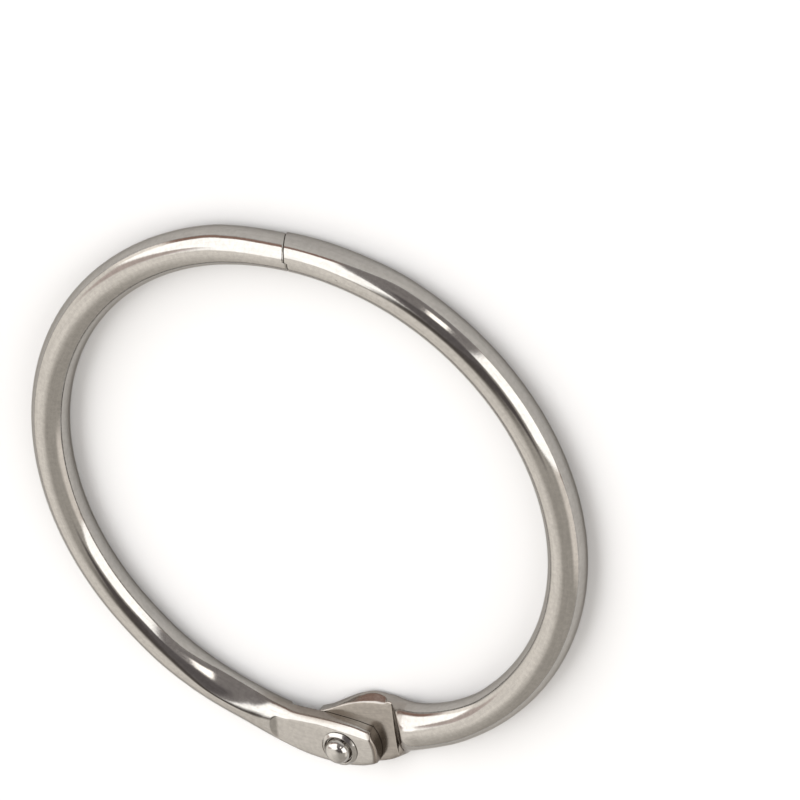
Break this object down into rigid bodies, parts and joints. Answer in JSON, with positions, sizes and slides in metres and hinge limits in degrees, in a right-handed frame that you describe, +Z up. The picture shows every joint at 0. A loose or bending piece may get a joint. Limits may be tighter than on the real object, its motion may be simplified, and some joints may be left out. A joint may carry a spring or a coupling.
{
  "type": "binder ring",
  "caption": "Hinged loose-leaf binder ring of round plated wire, with a riveted lap hinge and a snap closure opposite it.",
  "frame": {"origin": "middle of the ring, on the surface it lies on", "axes": "+Z up through the ring, across its flat; -Y towards the hinge; +Y towards the closure; +X towards the half that carries the rivet"},
  "size_m": [0.0574, 0.0586, 0.0044],
  "materials": {
    "plated_wire": "bright nickel plating on drawn steel wire",
    "plated_rivet": "bright nickel plating on a turned steel rivet"
  },
  "bodies": {
    "fixed_half": {"right_half_ring": "plated_wire", "hinge_rivet": "plated_rivet"},
    "swinging_half": {"left_half_ring": "plated_wire"}
  },
  "joints": [
    {"name": "hinge_pivot", "type": "hinge", "parent": "fixed_half", "child": "swinging_half", "pos_m": [0.00225, -0.0281, 0.00185], "axis": [0, 0, 1], "range_deg": [0, 150]}
  ]
}
